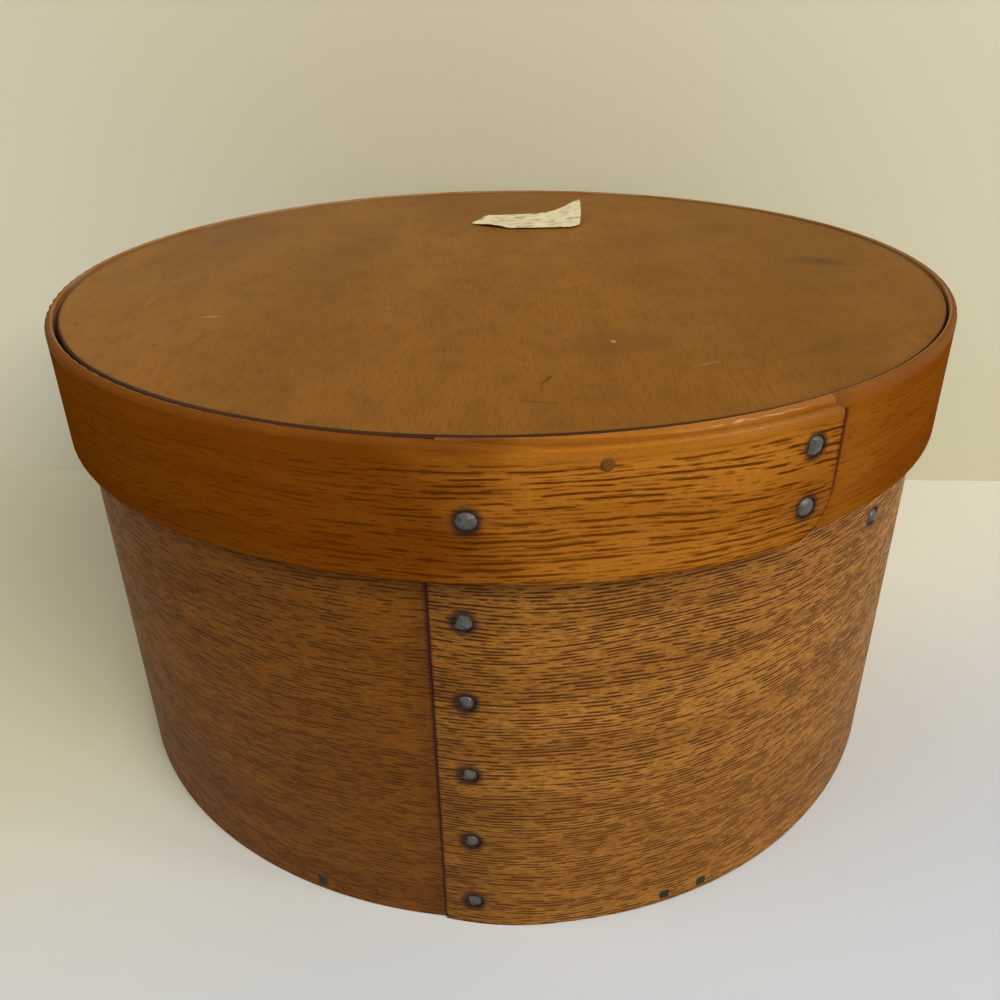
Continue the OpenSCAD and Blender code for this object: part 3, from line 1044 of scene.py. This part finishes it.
@dataclass
class PaperLabel:
    """The torn paper label, whose right end has come unstuck and curled up."""

    long: float = 41 * MM
    deep: float = 22 * MM
    tip: float = 8 * MM
    tear: float = 6 * MM
    nip: float = 14 * MM
    corner: float = 3 * MM
    slant: float = 3 * MM
    blunt: float = 0.9 * MM
    curl: float = 2 * MM
    curl_r: float = 18 * MM
    crease: float = 130.0
    thick: float = 0.22 * MM
    cockle: float = 1.1 * MM
    cockle_wide: float = 9 * MM
    lift: float = 0.02 * MM
    cells: tuple[int, int] = (84, 46)

    def build(self) -> bpy.types.Object:
        """Model the label in its node's place.

        Returns:
            The label.
        """
        low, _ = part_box("paper_label")
        deselect()
        bpy.ops.mesh.primitive_grid_add(
            x_subdivisions=self.cells[0], y_subdivisions=self.cells[1], size=1.0,
            location=(self.long / 2, self.deep / 2, 0),
        )
        piece = bpy.context.object
        piece.name = "torn_label"
        piece.scale = (self.long, self.deep, 1.0)
        bpy.ops.object.transform_apply()
        bpy.ops.object.mode_set(mode="EDIT")
        tip = Vector((0, self.tip, 0))
        self.trim(tip, Vector((self.tear, self.deep, 0)))
        self.trim(Vector((self.nip, 0, 0)), tip)
        end = Vector((self.long - self.slant, 0, 0))
        far_corner = Vector((self.long, self.deep, 0))
        self.trim(far_corner, end)
        self.trim(far_corner - Vector((2.0 * self.blunt, 0, 0)), far_corner - Vector((0, self.blunt, 0)))
        self.trim(end + Vector((0, self.corner, 0)), end - Vector((self.corner, 0, 0)))
        bpy.ops.object.mode_set(mode="OBJECT")
        self.bend(piece)
        self.ripple(piece)
        piece.matrix_world = Matrix.Translation((low.x, low.y, low.z + self.lift))
        pick(piece)
        bpy.ops.object.transform_apply()
        bpy.ops.object.shade_smooth()
        return piece

    @staticmethod
    def trim(start: Vector, end: Vector) -> None:
        """Cut away what lies on the left of a line on the sheet in edit mode.

        Args:
            start: First point of the line.
            end: Second point of the line.
        """
        way = (end - start).normalized()
        bpy.ops.mesh.select_all(action="SELECT")
        bpy.ops.mesh.bisect(plane_co=start, plane_no=(-way.y, way.x, 0), clear_outer=True, threshold=CUT)

    def bend(self, piece: bpy.types.Object) -> None:
        """Curl the right end up round a level line beside the crease.

        Args:
            piece: Flat label in its own frame.
        """
        lean = math.radians(self.crease - 90.0)
        start = Vector((self.long - self.curl, 0, 0))
        across = Vector((math.cos(lean), math.sin(lean), 0))
        for point in piece.data.vertices:
            past = (point.co - start).dot(across)
            if past > 0:
                swing = past / self.curl_r
                point.co += across * (self.curl_r * math.sin(swing) - past)
                point.co.z += self.curl_r * (1 - math.cos(swing))

    def ripple(self, piece: bpy.types.Object) -> None:
        """Cockle the paper a little and give it its thickness.

        Args:
            piece: Curled label.
        """
        pick(piece)
        cockle = bpy.data.textures.new("paper_cockle", "CLOUDS")
        cockle.noise_scale = self.cockle_wide
        wave = piece.modifiers.new("cockle", "DISPLACE")
        wave.texture = cockle
        wave.texture_coords = "LOCAL"
        wave.direction = "Z"
        wave.mid_level = 0.0
        wave.strength = self.cockle
        bpy.ops.object.modifier_apply(modifier=wave.name)
        sheet = piece.modifiers.new("sheet", "SOLIDIFY")
        sheet.thickness = self.thick
        sheet.offset = 1.0
        bpy.ops.object.modifier_apply(modifier=sheet.name)


@dataclass(frozen=True)
class View:
    """Camera of the photograph: place in millimetres, angles in degrees and focal length in pixels."""

    place: tuple[float, float, float] = (1.45, -282.09, 207.07)
    yaw: float = 0.48
    pitch: float = 28.28
    roll: float = -0.93
    focal: float = 929.6
    film: float = 36.0
    nearest: float = 0.01

    def build(self) -> None:
        """Add the camera and make it the scene's own."""
        lens = bpy.data.cameras.new("photo_camera")
        lens.sensor_width = self.film
        lens.lens = self.focal / IMAGE_SIDE * self.film
        lens.clip_start = self.nearest
        camera = bpy.data.objects.new("photo_camera", lens)
        bpy.context.scene.collection.objects.link(camera)
        tilt = Matrix.Rotation(math.radians(90.0 - self.pitch), 4, "X")
        turn = Matrix.Rotation(math.radians(self.roll), 4, "Z")
        swing = Matrix.Rotation(math.radians(self.yaw), 4, "Z")
        camera.matrix_world = Matrix.Translation(Vector(self.place) * MM) @ swing @ tilt @ turn
        bpy.context.scene.camera = camera


@dataclass(frozen=True)
class Lamp:
    """One soft light: its place and aim in metres, side and power."""

    name: str
    place: tuple[float, float, float]
    side: float
    power: float
    colour: Colour = (1.0, 0.96, 0.90)
    aim: tuple[float, float, float] = (0.0, 0.0, 0.07)

    def build(self) -> None:
        """Add the lamp."""
        light = bpy.data.lights.new(self.name, "AREA")
        light.shape = "DISK"
        light.size = self.side
        light.energy = self.power
        light.color = self.colour
        lamp = bpy.data.objects.new(self.name, light)
        bpy.context.scene.collection.objects.link(lamp)
        lamp.location = self.place
        lamp.rotation_euler = (Vector(self.aim) - Vector(self.place)).to_track_quat("-Z", "Y").to_euler()


@dataclass(frozen=True)
class Studio:
    """White table before a cream wall, soft light and the photograph's camera."""

    side: float = 6.0
    wall_at: float = 0.1284
    wall_turn: float = -3.05
    white: Colour = (0.61, 0.65, 0.69)
    cream: Colour = (0.635, 0.60, 0.43)
    bright: Colour = (0.86, 0.82, 0.66)
    wall: Colour = (0.595, 0.57, 0.41)
    wall_left_painted_light: Colour = (0.72, 0.70, 0.585)
    sky: Colour = (1.0, 0.97, 0.92)
    sky_level: float = 0.13
    rough: float = 0.9
    sheen: float = 0.1
    lamps: tuple[Lamp, ...] = (
        Lamp("key_right", (0.66, -0.94, 1.03), 0.9, 19.0),
        Lamp("window_right", (1.00, -0.42, 0.72), 0.2, 2.5),
        Lamp("top_left", (-0.78, -0.38, 0.92), 0.9, 4.2),
        Lamp("rear_fill", (-0.55, 1.15, 0.85), 1.2, 4.5),
    )

    def build(self) -> None:
        """Build the table, the wall, the light and the camera."""
        View().build()
        for lamp in self.lamps:
            lamp.build()
        self.build_table()
        self.build_wall()
        self.build_sky()
        bpy.context.scene.view_settings.view_transform = "Standard"

    def build_table(self) -> None:
        """Lay the table, which is white in front and cream towards the wall, with painted light brightening
        the cream on the right.
        """
        deselect()
        bpy.ops.mesh.primitive_plane_add(size=self.side)
        table = bpy.context.object
        table.name = "table"
        sheet = Sheet("pale_table", self.white)
        x, y, _ = sheet.split(sheet.place())
        back = (y - x * 0.35).step(-0.17, 0.02)
        # Painted light: the cream turns brighter towards the right.
        sheet.paint(back, sheet.mix(x.step(0.0, 0.16), self.cream, self.bright))
        dress(table, sheet.close(self.rough, Specular_IOR_Level=self.sheen))

    def build_wall(self) -> None:
        """Stand the wall behind the box, where it is seen from the front and lets light pass from behind."""
        deselect()
        bpy.ops.mesh.primitive_plane_add(size=self.side, location=(0, self.wall_at, self.side / 2),
                                         rotation=(math.pi / 2, 0, math.radians(self.wall_turn)))
        wall = bpy.context.object
        wall.name = "wall"
        bpy.ops.object.transform_apply()
        sheet = Sheet("cream_wall", self.wall)
        x, _, z = sheet.split(sheet.place())
        uneven = sheet.cloud(x / 0.16, z / 0.16, 0.0, 1.0)
        sheet.paint(uneven * 0.2, self.cream)
        # Painted light: the wall turns brighter towards the left and low down.
        sheet.paint((x + z * 0.6).step(0.10, -0.25), self.wall_left_painted_light)
        seen = sheet.node("ShaderNodeLightPath", out="Is Camera Ray")
        mirrored = sheet.node("ShaderNodeLightPath", out="Is Glossy Ray")
        front = 1.0 - sheet.node("ShaderNodeNewGeometry", out="Backfacing")
        shown = seen.upper(mirrored) * front
        dress(wall, sheet.close(self.rough, shown=shown, Specular_IOR_Level=self.sheen))

    def build_sky(self) -> None:
        """Light the scene evenly from all round."""
        world = bpy.data.worlds.new("soft_sky")
        world.use_nodes = True
        ground = world.node_tree.nodes["Background"]
        ground.inputs["Color"].default_value = (*self.sky, 1.0)
        ground.inputs["Strength"].default_value = self.sky_level
        bpy.context.scene.world = world


def build_tacks(maker: TackMaker, ring: Ring, spots: list[TackPlace], body: Body,
                pattern: bpy.types.Object, finish: bpy.types.Material, first: int) -> None:
    """Make the tacks of one band.

    Args:
        maker: Maker of the tacks.
        ring: Band that they are driven into.
        spots: Their places.
        body: Body that they ride on.
        pattern: Round tack that is copied.
        finish: Iron of the tacks.
        first: Number of the first tack, which picks its strikes.
    """
    for number, spot in enumerate(spots, first):
        piece = maker.place(pattern, spot, ring, number)
        dress(piece, finish)
        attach(piece, body.value)
        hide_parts(spot.tack.node)
        LOG.info("hammered %s", piece.name)


def write_size() -> None:
    """Update the view layer."""
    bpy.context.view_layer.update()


def main() -> None:
    """Build and dress the whole box in its studio."""
    logging.basicConfig(level=logging.INFO, format="%(name)s: %(message)s")
    box = BoxBody()
    lid = Lid()
    box.dress(lid.ring.low)
    lid.dress()

    maker = TackMaker()
    pattern = maker.pattern()
    iron = OldIron("tack_iron_grey", bright=(0.085, 0.085, 0.070), scale=(0.026, 0.023, 0.022),
                   rust=(0.06, 0.026, 0.013), metal=0.2, grain=1.4)
    finish = iron.dress()
    build_tacks(maker, box.ring, box.spots, Body.BOX, pattern, finish, 1)
    build_tacks(maker, lid.ring, lid.spots, Body.LID, pattern, finish, 1 + len(box.spots))
    bpy.data.objects.remove(pattern)

    label = PaperLabel().build()
    dress(label, OldPaper().dress())
    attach(label, Body.LID.value)
    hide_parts("paper_label")
    LOG.info("laid %s", label.name)

    Studio().build()
    write_size()


if __name__ == "__main__":
    main()
